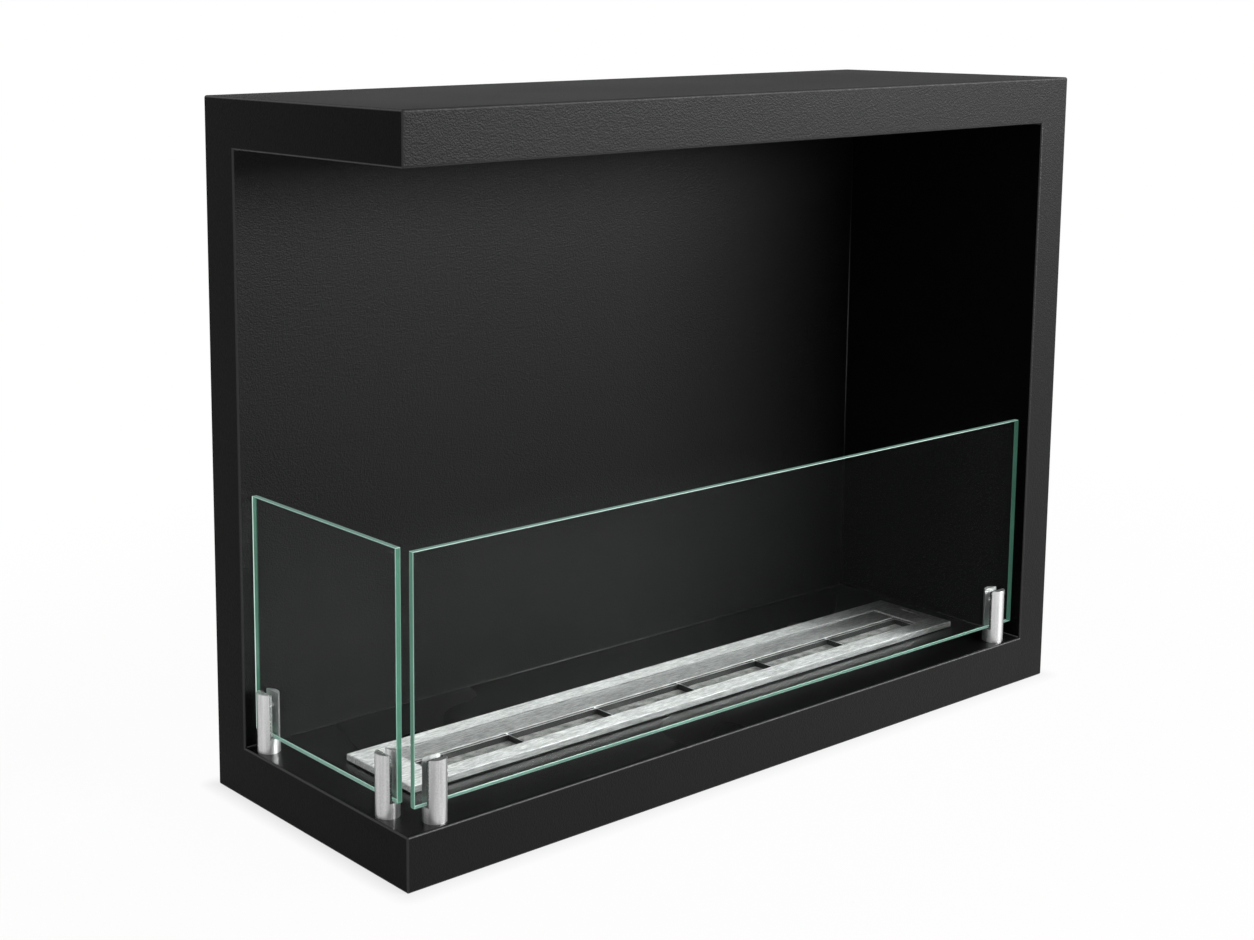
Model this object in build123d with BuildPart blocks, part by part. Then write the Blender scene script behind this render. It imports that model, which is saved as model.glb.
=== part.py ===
"""Corner bioethanol fireplace: a black sheet-steel case that is open to the front and to the left,
with a low glass screen on round steel posts and a long burner let into the hearth.

Millimetres. +X runs along the front to the closed right side, +Y from the front to the rear, +Z up.
The origin is in the middle of the footprint, on the surface that the case stands on.
"""

from build123d import *
import os

os.makedirs("parts", exist_ok=True)

# ---------------------------------------------------------------- driving dimensions
# Case, outside
case_width = 800.0
case_depth = 274.0
case_height = 600.0
top_slab = 43.0            # thickness of the hollow top
bottom_slab = 46.0         # thickness of the hollow base under the hearth
right_wall = 38.0
rear_wall = 42.0
sheet = 1.5
bend_radius = 2.0          # outside radius of the folded edges

# Rear cover, its screws and the holes that hang the case on a wall
cover_sheet = 1.0
cover_inset = 3.0          # from the rear edge of the case to the face of the cover
cover_gap = 0.5            # all round, between the cover and the case
rail_leg = 14.0            # height of the angle that the cover is screwed to
rail_sheet = 1.5
cover_screws_wide = 3
cover_screws_high = 2
cover_screw_hole = 4.2
cover_screw_shank = 4.0
cover_screw_head = 7.0     # across the flats
cover_screw_head_height = 2.2
cover_screw_length = 8.0
hanging_hole = 10.0
hanging_spacing = 600.0
hanging_rise = 350.0       # from the lower pair of hanging holes to the upper pair
hanging_low = 150.0        # height of the lower pair
doubler_size = 50.0
doubler_sheet = 2.0

# Insulation boards and the stiffeners inside the case
board = 25.0
board_gap = 0.5
hat_count = 3
hat_crown = 24.0
hat_flange = 12.0
channel_width = 16.0
channel_end_gap = 12.0

# Glass screen
glass = 5.0
pane_height = 205.0
pane_lift = 15.0           # from the hearth to the lower edge of the glass
pane_inset = 14.0          # from the outside faces of the case to the middle of the glass
pane_wall_gap = 0.8        # from the ends of the glass to the walls of the chamber
corner_gap = 12.0          # between the two panes, where they meet
front_pane_inset = 15.5    # from the left end of the case to the end of the front pane
glass_chamfer = 0.5

# Round posts that hold the glass
post_diameter = 20.0
post_height = 52.0
post_chamfer = 0.5
post_slot = 9.0
liner = 2.0                # clear plastic between the glass and the slot
side_post_margin = 16.0    # from the ends of the side pane to the middle of its posts
front_post_margin_left = 21.5
front_post_margin_right = 25.0
foot_hole = 6.2
foot_screw = 6.0
foot_screw_grip = 10.0     # how far the screw enters the post
foot_head = 10.0           # across the flats
foot_head_height = 4.0
clamp_hole = 5.0
clamp_screw = 4.8
clamp_drop = 12.0          # from the top of the post to the clamp screw
clamp_recess = 1.5         # how deep the clamp screw sits in the post
clamp_tip = 4.0
glass_play = 0.3           # between the glass and the tips of the clamp screws

# Burner
burner_length = 682.0
burner_width = 90.0
burner_rise = 7.0          # from the hearth to the top of the burner
burner_wall_gap = 28.0     # from the burner to the right wall of the chamber
burner_front_gap = 63.5    # from the front of the case to the burner
plate_sheet = 1.5
plate_edge = 0.8           # radius of the folded edge of the top plate
rim_side = 18.0            # width of the top plate in front of and behind its window
rim_end = 32.0             # the same at the two ends
lift_slit_length = 20.0
lift_slit_width = 1.6
lift_slit_margin = 9.0     # from the right end of the burner
lip_land = 4.5             # width of hearth that shows between the cut-out and the lip
tank_gap = 3.0             # between the tank and the cut-out
tank_sheet = 1.0
tray_sheet = 1.0
tray_flange = 8.0
tray_clearance = 1.5       # under the tank

# Fuel trough in the window of the burner
trough_end_gap = 1.5       # from the ends of the trough to the ends of the window
trough_inside = 24.5       # clear width between its long walls
trough_sheet = 1.5
trough_drop = 2.0          # from the top of the burner to the top of the trough
cell_count = 6
rib_thickness = 1.5
rib_height = 5.0
rib_fit = 0.05             # each side of a rib, in its notch
wool_drop = 4.5            # from the top of the trough to the wool
wool_gap = 0.3
wool_edge = 1.2
fuel_port_length = 14.0
fuel_port_height = 6.0
fuel_port_rise = 5.0       # from the floor of the trough to the lower edge of the ports

# Regulator: the plate that slides over the trough
slider_width = 25.0
slider_thickness = 1.0
slider_end_gap = 1.0
slider_rear_gap = 0.8
slider_stop_gap = 0.3      # left at the front when the trough is closed
slider_corner = 1.5
rail_flange = 8.0          # of the angle that holds the rear ends of the ribs
rail_depth = 7.5
rail_thickness = 1.0

# ---------------------------------------------------------------- places worked out from them
left = -case_width / 2
right = case_width / 2
front = -case_depth / 2
rear = case_depth / 2
hearth = bottom_slab
ceiling = case_height - top_slab
chamber_right = right - right_wall
chamber_rear = rear - rear_wall

cover_face = rear - cover_inset
cover_back = cover_face - cover_sheet
board_face = chamber_rear + sheet + board
rail_run = cover_back - board_face

side_pane_x = left + pane_inset
front_pane_y = front + pane_inset
pane_low = hearth + pane_lift
pane_top = pane_low + pane_height
side_pane_front = front_pane_y + glass / 2 + corner_gap
side_pane_rear = chamber_rear - pane_wall_gap
front_pane_left = left + front_pane_inset
front_pane_right = chamber_right - pane_wall_gap

post_radius = post_diameter / 2
post_top = hearth + post_height
slot_floor = pane_low - liner
clamp_height = post_top - clamp_drop

plate_right = chamber_right - burner_wall_gap
plate_left = plate_right - burner_length
plate_front = front + burner_front_gap
plate_rear = plate_front + burner_width
plate_top = hearth + burner_rise
plate_under = plate_top - plate_sheet
window_left = plate_left + rim_end
window_right = plate_right - rim_end
window_front = plate_front + rim_side
window_rear = plate_rear - rim_side

cut_inset = plate_sheet + lip_land
cut_left, cut_right = plate_left + cut_inset, plate_right - cut_inset
cut_front, cut_rear = plate_front + cut_inset, plate_rear - cut_inset
tank_left, tank_right = cut_left + tank_gap, cut_right - tank_gap
tank_front, tank_rear = cut_front + tank_gap, cut_rear - tank_gap
tank_low = sheet + tray_sheet + tray_clearance

trough_left = window_left + trough_end_gap
trough_right = window_right - trough_end_gap
trough_front = window_front - trough_sheet
trough_rear = window_front + trough_inside + trough_sheet
trough_top = plate_top - trough_drop
trough_low = tank_low + tank_sheet
trough_floor = trough_low + trough_sheet
cell_pitch = (trough_right - trough_left - trough_sheet) / cell_count
rib_centres = [trough_left + trough_sheet / 2 + cell_pitch * i for i in range(1, cell_count)]
rib_low = trough_top - rib_height
wool_top = trough_top - wool_drop

slider_left = window_left + slider_end_gap
slider_right = window_right - slider_end_gap
slider_rear = window_rear - slider_rear_gap
slider_front = slider_rear - slider_width
slider_travel = slider_front - window_front - slider_stop_gap


def block(x_range, y_range, z_range, mode=Mode.ADD):
    """A box from its three ranges, in the part that is being made."""
    sizes = [high - low for low, high in (x_range, y_range, z_range)]
    middle = tuple((high + low) / 2 for low, high in (x_range, y_range, z_range))
    with Locations(middle):
        Box(*sizes, mode=mode)


def save(piece, name):
    """Labels a finished piece and writes its file."""
    piece.part.label = name
    export_step(piece.part, f"parts/{name}.step")


# ---------------------------------------------------------------- case
# The skin is made whole, as a hollow with bends on its outer edges and an open rear, and is
# then parted where its four folded shells are welded together and ground flush.

with BuildPart() as hollow:
    block((left + sheet, right - sheet), (front + sheet, rear), (sheet, case_height - sheet))
    block(
        (left, chamber_right + sheet),
        (front, chamber_rear + sheet),
        (hearth - sheet, ceiling + sheet),
        mode=Mode.SUBTRACT,
    )

with BuildPart() as skin:
    block((left, right), (front, rear), (0, case_height))
    block((left, chamber_right), (front, chamber_rear), (hearth, ceiling), mode=Mode.SUBTRACT)
    faces_x = skin.faces().sort_by(Axis.X)
    faces_y = skin.faces().sort_by(Axis.Y)
    faces_z = skin.faces().sort_by(Axis.Z)
    outside = [faces_x[0], faces_x[-1], faces_y[0], faces_z[0], faces_z[-1]]
    folded = [edge for face in outside for edge in face.edges()]
    rear_edges = faces_y[-1].edges()
    bends = []
    for edge in folded:
        if edge not in rear_edges and edge not in bends:
            bends.append(edge)
    fillet(bends, bend_radius)
    add(hollow.part, mode=Mode.SUBTRACT)

hearth_plane = Plane.XY.offset(hearth)
ceiling_plane = Plane.XY.offset(ceiling)
chamber_side = Plane.YZ.offset(chamber_right)

post_places = {
    "side_rear_post": (side_pane_x, side_pane_rear - side_post_margin, "side"),
    "side_front_post": (side_pane_x, side_pane_front + side_post_margin, "side"),
    "front_left_post": (front_pane_left + front_post_margin_left, front_pane_y, "front"),
    "front_right_post": (front_pane_right - front_post_margin_right, front_pane_y, "front"),
}
post_centres = [(x, y) for x, y, pane in post_places.values()]

with BuildPart() as base_shell:
    add(skin.part)
    split(bisect_by=hearth_plane, keep=Keep.BOTTOM)
    split(bisect_by=chamber_side, keep=Keep.BOTTOM)
    # The hearth has the burner's cut-out and a hole for the screw of each post.
    block((cut_left, cut_right), (cut_front, cut_rear), (hearth - sheet, hearth), Mode.SUBTRACT)
    with BuildSketch(hearth_plane):
        with Locations(*post_centres):
            Circle(foot_hole / 2)
    extrude(amount=-sheet, mode=Mode.SUBTRACT)
save(base_shell, "base_shell")

with BuildPart() as top_shell:
    add(skin.part)
    split(bisect_by=ceiling_plane, keep=Keep.TOP)
    split(bisect_by=chamber_side, keep=Keep.BOTTOM)
save(top_shell, "top_shell")

with BuildPart() as right_shell:
    add(skin.part)
    split(bisect_by=chamber_side, keep=Keep.TOP)
save(right_shell, "right_shell")

with BuildPart() as rear_shell:
    add(skin.part)
    split(bisect_by=hearth_plane, keep=Keep.TOP)
    split(bisect_by=ceiling_plane, keep=Keep.BOTTOM)
    split(bisect_by=chamber_side, keep=Keep.BOTTOM)
save(rear_shell, "rear_shell")

# ---------------------------------------------------------------- rear cover
inner_width = case_width - 2 * sheet
inner_height = case_height - 2 * sheet
cover_width = inner_width - 2 * cover_gap
cover_height = inner_height - 2 * cover_gap
screw_step_x = (inner_width - rail_leg) / (cover_screws_wide - 1)
screw_step_z = (inner_height - rail_leg) / (cover_screws_high - 1)
mid_z = case_height / 2
# Sketches for the rear are drawn on this plane, seen from behind: its x runs against +X.
rear_plane = Plane(origin=(0, cover_face, mid_z), x_dir=(-1, 0, 0), z_dir=(0, 1, 0))
cover_screw_places = [
    (-(inner_width - rail_leg) / 2 + screw_step_x * i, -(inner_height - rail_leg) / 2 + screw_step_z * j)
    for i in range(cover_screws_wide)
    for j in range(cover_screws_high)
]
hanging_places = [
    (x, hanging_low + z - mid_z)
    for x in (-hanging_spacing / 2, hanging_spacing / 2)
    for z in (0, hanging_rise)
]

with BuildPart() as rear_cover:
    with BuildSketch(rear_plane):
        Rectangle(cover_width, cover_height)
        with Locations(*cover_screw_places):
            Circle(cover_screw_hole / 2, mode=Mode.SUBTRACT)
        with Locations(*hanging_places):
            Circle(hanging_hole / 2, mode=Mode.SUBTRACT)
    extrude(amount=-cover_sheet)
save(rear_cover, "rear_cover")

# A welded frame of angle inside the rear edge of the case: the cover is screwed to one leg,
# and the other leg holds the rear insulation board.
with BuildPart() as cover_rails:
    with BuildSketch(rear_plane.offset(-cover_sheet)):
        Rectangle(inner_width, inner_height)
        Rectangle(inner_width - 2 * rail_leg, inner_height - 2 * rail_leg, mode=Mode.SUBTRACT)
        with Locations(*cover_screw_places):
            Circle(cover_screw_hole / 2, mode=Mode.SUBTRACT)
    extrude(amount=-rail_sheet)
    with BuildSketch(rear_plane.offset(-cover_sheet)):
        Rectangle(inner_width, inner_height)
        Rectangle(inner_width - 2 * rail_sheet, inner_height - 2 * rail_sheet, mode=Mode.SUBTRACT)
    extrude(amount=-rail_run)
save(cover_rails, "cover_rails")

with BuildPart() as hanger_doublers:
    with BuildSketch(rear_plane.offset(-cover_sheet)):
        with Locations(*hanging_places):
            Rectangle(doubler_size, doubler_size)
            Circle(hanging_hole / 2, mode=Mode.SUBTRACT)
    extrude(amount=-doubler_sheet)
save(hanger_doublers, "hanger_doublers")

with BuildPart() as cover_screws:
    with BuildSketch(rear_plane):
        with Locations(*cover_screw_places):
            RegularPolygon(cover_screw_head / 2, 6, major_radius=False)
    extrude(amount=cover_screw_head_height)
    with BuildSketch(rear_plane):
        with Locations(*cover_screw_places):
            Circle(cover_screw_shank / 2)
    extrude(amount=-cover_screw_length)
save(cover_screws, "cover_screws")

# ---------------------------------------------------------------- inside the case
with BuildPart() as rear_insulation:
    block(
        (left + sheet + board_gap, right - sheet - board_gap),
        (chamber_rear + sheet, board_face),
        (sheet, case_height - sheet - board_gap),
    )
save(rear_insulation, "rear_insulation")

board_rear = chamber_rear + sheet - board_gap
board_front = front + sheet + board_gap
with BuildPart() as right_insulation:
    block(
        (chamber_right + sheet, chamber_right + sheet + board),
        (board_front, board_rear),
        (sheet, case_height - sheet - board_gap),
    )
save(right_insulation, "right_insulation")

with BuildPart() as top_insulation:
    block(
        (left + sheet + board_gap, chamber_right + sheet - board_gap),
        (board_front, board_rear),
        (ceiling + sheet, ceiling + sheet + board),
    )
save(top_insulation, "top_insulation")

# Hat sections welded under the top skin: their crowns hold the top board down.
hat_height = top_slab - 2 * sheet - board
hat_pitch = (chamber_right - left) / hat_count
hat_centres = [left + hat_pitch * (i + 0.5) for i in range(hat_count)]
hat_plane = Plane(origin=(0, board_rear, case_height - sheet), x_dir=(1, 0, 0), z_dir=(0, -1, 0))
with BuildPart() as top_stiffeners:
    with BuildSketch(hat_plane):
        with Locations(*[(x, -hat_height / 2) for x in hat_centres]):
            Rectangle(hat_crown, hat_height)
        with Locations(*[(x, -sheet / 2) for x in hat_centres]):
            Rectangle(hat_crown + 2 * hat_flange, sheet)
        with Locations(*[(x, sheet / 2 - hat_height / 2) for x in hat_centres]):
            Rectangle(hat_crown - 2 * sheet, hat_height - sheet, mode=Mode.SUBTRACT)
    extrude(amount=board_rear - board_front)
save(top_stiffeners, "top_stiffeners")

# Two channels carry the hearth, one in front of the burner and one behind it.
channel_height = bottom_slab - 2 * sheet
tray_front = cut_front - tray_sheet - tray_flange
tray_rear = cut_rear + tray_sheet + tray_flange
front_channel_y = (front_pane_y + foot_head / 2 + tray_front) / 2
rear_channel_y = (tray_rear + chamber_rear) / 2
channel_left = min(x for x, y in post_centres) + foot_head / 2 + channel_end_gap
channel_right = chamber_right - channel_end_gap
channel_plane = Plane(origin=(channel_left, 0, hearth / 2), x_dir=(0, 1, 0), z_dir=(1, 0, 0))
with BuildPart() as base_channels:
    with BuildSketch(channel_plane):
        with Locations((front_channel_y, 0), (rear_channel_y, 0)):
            Rectangle(channel_width, channel_height)
        with Locations((front_channel_y + sheet, 0), (rear_channel_y + sheet, 0)):
            Rectangle(channel_width, channel_height - 2 * sheet, mode=Mode.SUBTRACT)
    extrude(amount=channel_right - channel_left)
save(base_channels, "base_channels")

# A folded tray under the cut-out catches spilt fuel and guides the tank.
with BuildPart() as spill_tray:
    with BuildSketch(Plane.XY.offset(sheet)):
        with Locations(((cut_left + cut_right) / 2, (cut_front + cut_rear) / 2)):
            Rectangle(cut_right - cut_left + 2 * tray_sheet, cut_rear - cut_front + 2 * tray_sheet)
    extrude(amount=hearth - 2 * sheet)
    with BuildSketch(Plane.XY.offset(hearth - sheet)):
        with Locations(((cut_left + cut_right) / 2, (cut_front + cut_rear) / 2)):
            Rectangle(
                cut_right - cut_left + 2 * (tray_sheet + tray_flange),
                cut_rear - cut_front + 2 * (tray_sheet + tray_flange),
            )
    extrude(amount=-tray_sheet)
    block(
        (cut_left, cut_right),
        (cut_front, cut_rear),
        (sheet + tray_sheet, hearth - sheet),
        mode=Mode.SUBTRACT,
    )
save(spill_tray, "spill_tray")


# ---------------------------------------------------------------- glass and its posts
def make_pane(x_range, y_range, name):
    """An upright pane of toughened glass with its edges eased."""
    with BuildPart() as pane:
        block(x_range, y_range, (pane_low, pane_top))
        chamfer(pane.edges(), glass_chamfer)
    save(pane, name)


def inward_of(pane):
    """The direction from a pane to the fire."""
    return (1, 0, 0) if pane == "side" else (0, 1, 0)


def clamp_plane(x, y, pane, reach):
    """The plane across a clamp screw, at a distance from the middle of its post."""
    step = inward_of(pane)
    origin = (x + reach * step[0], y + reach * step[1], clamp_height)
    return Plane(origin=origin, z_dir=step)


def make_post(x, y, pane, name):
    """A turned post, slotted from the top for the glass, with a tapped foot and a clamp screw hole."""
    across = (post_slot, post_diameter) if pane == "side" else (post_diameter, post_slot)
    with BuildPart() as post:
        with BuildSketch(Plane.XY.offset(hearth)):
            with Locations((x, y)):
                Circle(post_radius)
        extrude(amount=post_height)
        chamfer(post.edges().filter_by(GeomType.CIRCLE).sort_by(Axis.Z)[-1], post_chamfer)
        with BuildSketch(Plane.XY.offset(post_top)):
            with Locations((x, y)):
                Rectangle(*across)
        extrude(amount=slot_floor - post_top, mode=Mode.SUBTRACT)
        with BuildSketch(Plane.XY.offset(hearth)):
            with Locations((x, y)):
                Circle(foot_hole / 2)
        extrude(amount=foot_screw_grip + sheet, mode=Mode.SUBTRACT)
        with BuildSketch(clamp_plane(x, y, pane, 0)):
            Circle(clamp_hole / 2)
        extrude(amount=post_radius, mode=Mode.SUBTRACT)
    save(post, name)


make_pane((side_pane_x - glass / 2, side_pane_x + glass / 2), (side_pane_front, side_pane_rear), "side_pane")
make_pane((front_pane_left, front_pane_right), (front_pane_y - glass / 2, front_pane_y + glass / 2), "front_pane")

for post_name, (post_x, post_y, post_pane) in post_places.items():
    make_post(post_x, post_y, post_pane, post_name)

# Each post is held by a screw from inside the base.
foot_head_top = hearth - sheet
with BuildPart() as foot_screws:
    with BuildSketch(Plane.XY.offset(foot_head_top)):
        with Locations(*post_centres):
            RegularPolygon(foot_head / 2, 6, major_radius=False)
    extrude(amount=-foot_head_height)
    with BuildSketch(Plane.XY.offset(foot_head_top)):
        with Locations(*post_centres):
            Circle(foot_screw / 2)
    extrude(amount=hearth + foot_screw_grip - foot_head_top)
save(foot_screws, "foot_screws")

# The clamp screws press on the glass from the fire side, through a soft tip.
tip_face = glass / 2 + glass_play
with BuildPart() as clamp_screws:
    for post_x, post_y, post_pane in post_places.values():
        with BuildSketch(clamp_plane(post_x, post_y, post_pane, post_slot / 2)):
            Circle(clamp_screw / 2)
        extrude(amount=post_radius - post_slot / 2 - clamp_recess)
save(clamp_screws, "clamp_screws")

with BuildPart() as clamp_tips:
    for post_x, post_y, post_pane in post_places.values():
        with BuildSketch(clamp_plane(post_x, post_y, post_pane, tip_face)):
            Circle(clamp_tip / 2)
        extrude(amount=post_slot / 2 - tip_face)
save(clamp_tips, "clamp_tips")

# Clear angles line the floor of each slot and its outer face.
liner_run = post_diameter - 2 * post_chamfer
with BuildPart() as glass_liners:
    for post_x, post_y, post_pane in post_places.values():
        toward = inward_of(post_pane)
        with BuildSketch(Plane(origin=(post_x, post_y, slot_floor), x_dir=toward, z_dir=(0, 0, 1))):
            Rectangle(post_slot, liner_run)
        extrude(amount=liner)
        with BuildSketch(Plane(origin=(post_x, post_y, slot_floor), x_dir=toward, z_dir=(0, 0, 1))):
            with Locations(((liner - post_slot) / 2, 0)):
                Rectangle(liner, liner_run)
        extrude(amount=post_top - post_chamfer - slot_floor)
save(glass_liners, "glass_liners")

# ---------------------------------------------------------------- burner
plate_middle = ((plate_left + plate_right) / 2, (plate_front + plate_rear) / 2)
window_middle = ((window_left + window_right) / 2, (window_front + window_rear) / 2)
slit_middle = (plate_right - lift_slit_margin, window_middle[1])

with BuildPart() as burner_top:
    with BuildSketch(Plane.XY.offset(hearth)):
        with Locations(plate_middle):
            Rectangle(burner_length, burner_width)
    extrude(amount=burner_rise)
    fillet(burner_top.faces().sort_by(Axis.Z)[-1].edges(), plate_edge)
    with BuildSketch(Plane.XY.offset(hearth)):
        with Locations(plate_middle):
            Rectangle(burner_length - 2 * plate_sheet, burner_width - 2 * plate_sheet)
    extrude(amount=burner_rise - plate_sheet, mode=Mode.SUBTRACT)
    with BuildSketch(Plane.XY.offset(plate_under)):
        with Locations(window_middle):
            Rectangle(window_right - window_left, window_rear - window_front)
        with Locations(slit_middle):
            Rectangle(lift_slit_width, lift_slit_length)
    extrude(amount=plate_sheet, mode=Mode.SUBTRACT)
save(burner_top, "burner_top")

with BuildPart() as burner_tank:
    block((tank_left, tank_right), (tank_front, tank_rear), (tank_low, plate_under))
    tank_mouth = burner_tank.faces().sort_by(Axis.Z)[-1]
    offset(amount=-tank_sheet, openings=tank_mouth, kind=Kind.INTERSECTION)
save(burner_tank, "burner_tank")

notch_width = rib_thickness + 2 * rib_fit
port_middle = trough_floor + fuel_port_rise + fuel_port_height / 2
with BuildPart() as trough:
    block((trough_left, trough_right), (trough_front, trough_rear), (trough_low, trough_top))
    trough_mouth = trough.faces().sort_by(Axis.Z)[-1]
    offset(amount=-trough_sheet, openings=trough_mouth, kind=Kind.INTERSECTION)
    # The ribs drop into notches in the two long walls.
    for rib_x in rib_centres:
        block(
            (rib_x - notch_width / 2, rib_x + notch_width / 2),
            (trough_front, trough_rear),
            (rib_low, trough_top),
            mode=Mode.SUBTRACT,
        )
    # Ports near the floor of every cell let the fuel in from the tank.
    with BuildSketch(Plane.XZ.offset(-trough_rear)):
        with Locations(((trough_left + trough_right) / 2, port_middle)):
            with GridLocations(cell_pitch, 0, cell_count, 1):
                Rectangle(fuel_port_length, fuel_port_height)
    extrude(amount=trough_rear - trough_front, mode=Mode.SUBTRACT)
save(trough, "trough")

with BuildPart() as trough_ribs:
    for rib_x in rib_centres:
        block(
            (rib_x - rib_thickness / 2, rib_x + rib_thickness / 2),
            (trough_front, window_rear),
            (rib_low, trough_top),
        )
save(trough_ribs, "trough_ribs")

# One pad of ceramic wool fills each cell, up to a little below the ribs' upper edge.
pad_length = cell_pitch - rib_thickness - 2 * wool_gap
with BuildPart() as ceramic_wool:
    for cell in range(cell_count):
        pad_middle = trough_left + trough_sheet / 2 + cell_pitch * (cell + 0.5)
        block(
            (pad_middle - pad_length / 2, pad_middle + pad_length / 2),
            (trough_front + trough_sheet + wool_gap, trough_rear - trough_sheet - wool_gap),
            (trough_floor, wool_top),
        )
    chamfer(ceramic_wool.faces().group_by(Axis.Z)[-1].edges(), wool_edge)
save(ceramic_wool, "ceramic_wool")

# The angle under the rear rim holds the rear ends of the ribs.
rib_rail_plane = Plane(origin=(trough_left, 0, 0), x_dir=(0, 1, 0), z_dir=(1, 0, 0))
with BuildPart() as rib_rail:
    with BuildSketch(rib_rail_plane):
        with Locations((window_rear + rail_thickness / 2, plate_under - rail_depth / 2)):
            Rectangle(rail_thickness, rail_depth)
        with Locations((window_rear + rail_flange / 2, plate_under - rail_thickness / 2)):
            Rectangle(rail_flange, rail_thickness)
    extrude(amount=trough_right - trough_left)
save(rib_rail, "rib_rail")

# The regulator rests on the ribs behind the trough, and slides forward over it.
with BuildPart() as regulator_plate:
    with BuildSketch(Plane.XY.offset(trough_top)):
        with Locations(((slider_left + slider_right) / 2, (slider_front + slider_rear) / 2)):
            RectangleRounded(slider_right - slider_left, slider_width, slider_corner)
    extrude(amount=slider_thickness)
save(regulator_plate, "regulator_plate")

print(f"regulator travel {slider_travel:.2f} mm")
print(f"burner {burner_length:.0f} x {burner_width:.0f} mm, tank floor at {tank_low:.1f} mm")
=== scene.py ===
"""Looks of the corner bioethanol fireplace: powder-coated case, glass screen, brushed burner.

Metres, in the frame of the model: +X along the front to the closed right side, +Y from the open
front to the rear, +Z up, with the origin in the middle of the footprint.
"""

import math

import bmesh
import bpy
from mathutils import Matrix, Vector


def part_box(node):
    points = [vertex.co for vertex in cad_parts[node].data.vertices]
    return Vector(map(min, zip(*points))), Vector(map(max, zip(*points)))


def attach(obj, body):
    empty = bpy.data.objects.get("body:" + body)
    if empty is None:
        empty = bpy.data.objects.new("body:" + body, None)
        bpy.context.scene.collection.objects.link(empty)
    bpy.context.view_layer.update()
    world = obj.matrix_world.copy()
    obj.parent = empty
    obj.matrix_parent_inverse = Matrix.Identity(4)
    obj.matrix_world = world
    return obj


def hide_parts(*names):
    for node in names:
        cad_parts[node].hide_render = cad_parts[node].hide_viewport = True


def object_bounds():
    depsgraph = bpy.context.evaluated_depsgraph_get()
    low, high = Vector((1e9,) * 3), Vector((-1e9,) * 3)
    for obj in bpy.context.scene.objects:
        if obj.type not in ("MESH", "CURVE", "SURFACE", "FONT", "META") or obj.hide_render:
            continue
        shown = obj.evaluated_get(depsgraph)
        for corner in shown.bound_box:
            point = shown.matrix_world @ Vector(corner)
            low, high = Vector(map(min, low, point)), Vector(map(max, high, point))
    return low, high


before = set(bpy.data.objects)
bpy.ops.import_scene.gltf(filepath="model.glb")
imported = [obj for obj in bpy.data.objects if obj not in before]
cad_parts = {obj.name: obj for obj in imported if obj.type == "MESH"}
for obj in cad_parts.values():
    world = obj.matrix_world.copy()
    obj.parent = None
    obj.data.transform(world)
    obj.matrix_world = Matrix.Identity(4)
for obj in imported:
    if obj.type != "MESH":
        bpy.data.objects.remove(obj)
cad_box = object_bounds()

MM = 0.001

# ---------------------------------------------------------------- sizes used here
# Camera, recovered from the corners of the case in a photograph of 1254 x 940 pixels
PHOTO_WIDTH = 1254
PHOTO_HEIGHT = 940
LENS_CENTRE = (439, 307)
FOCAL_PIXELS = 1973.8
SENSOR_WIDTH = 36.0
CAMERA_PLACE = Vector((-1.2500, -1.2788, 0.6826))
CAMERA_YAW = math.radians(37.704)
CAMERA_PITCH = math.radians(9.037)
CAMERA_ROLL = math.radians(-0.246)

# Lamps: soft boxes, with the spot that each one faces, and its power in watts
KEY_LAMP = {
    "place": (1.33, -2.03, 0.98),
    "target": (0.0, 0.0, 0.4),
    "width": 2.1,
    "height": 0.6,
    "power": 88,
}
FILL_LAMP = {
    "place": (-2.6, -1.6, 1.6),
    "target": (0.0, 0.0, 0.2),
    "width": 1.6,
    "height": 1.6,
    "power": 5,
}
WORLD_STRENGTH = 0.15

# Floor: its share of plain white grows from low to high over a distance from the case, and what is
# added farther away makes it whole. Close to the case less of it is white, which darkens the floor
# there by place: a painted contact shadow beside the real one
FLOOR_REACH = 14.0
FLOOR_SHADE = 0.8
WHITE_BESIDE = {"low": 0.78, "high": 0.97, "start": 0.0, "end": 18.0 * MM}
WHITE_FAR_AWAY = {"low": 0.0, "high": 0.03, "start": 200.0 * MM, "end": 900.0 * MM}

# Glass: its edges glow with painted light, with painted shade and painted highlights on them
GLASS_ARRIS = 0.5 * MM
GLASS_ARRIS_STEPS = 2
CLEAR_FACE = 0.99           # a face is clear where its normal lies this far along the pane's thin axis
END_START = 2.0 * MM        # from the end of a pane, where the colours of its end edge begin
END_FULL = 1.0 * MM
RIM_START = 1.5 * MM        # from the outer face, where the bright rim of the rear end begins
RIM_FULL = 1.0 * MM

# Powder coat
COAT_GRAIN = 760.0
COAT_RIPPLE = 0.56 * COAT_GRAIN
COAT_RELIEF = 0.25 * MM

# Painted shadow: a dark band at the foot of the burner's lip, where it meets the hearth
PAINTED_SHADOW_TOP = 47.5 * MM
PAINTED_SHADOW_BLUR = 0.1 * MM

# Inside radius of the folds in the fire chamber
FOLD_RADIUS = 0.9 * MM
FOLD_STEPS = 6
FOLD_INSET = 2.0 * MM

# Ceramic wool: one pad in each cell of the trough, with loose fibres on it
CELLS = 6
PAD_GAP = 2.1 * MM
PAD_POINTS = {"Vertices X": 90, "Vertices Y": 26, "Vertices Z": 5}
PAD_SKIN = 0.2 * MM         # what lies in this depth from the top of a pad is its upper side
PAD_LUMPS = 0.7 * MM
PAD_LUMP_SCALE = 90.0
FIBRES_PER_SQUARE_METRE = 70000
FIBRE_LENGTH = 5.0 * MM
FIBRE_RADIUS = 0.035 * MM
FIBRE_SIDES = 3
FIBRE_STEPS = 3
FIBRE_BOW = 0.12            # of its length
FIBRE_LEAN = 0.1            # radians out of level, to either side
FIBRE_RISE = 0.3 * MM
FIBRE_GROUND = 0.7          # fibres lie where the normal of the wool points up by this much
FIBRE_SEED = 4
FIBRE_TURN_SEED = 7

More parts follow.
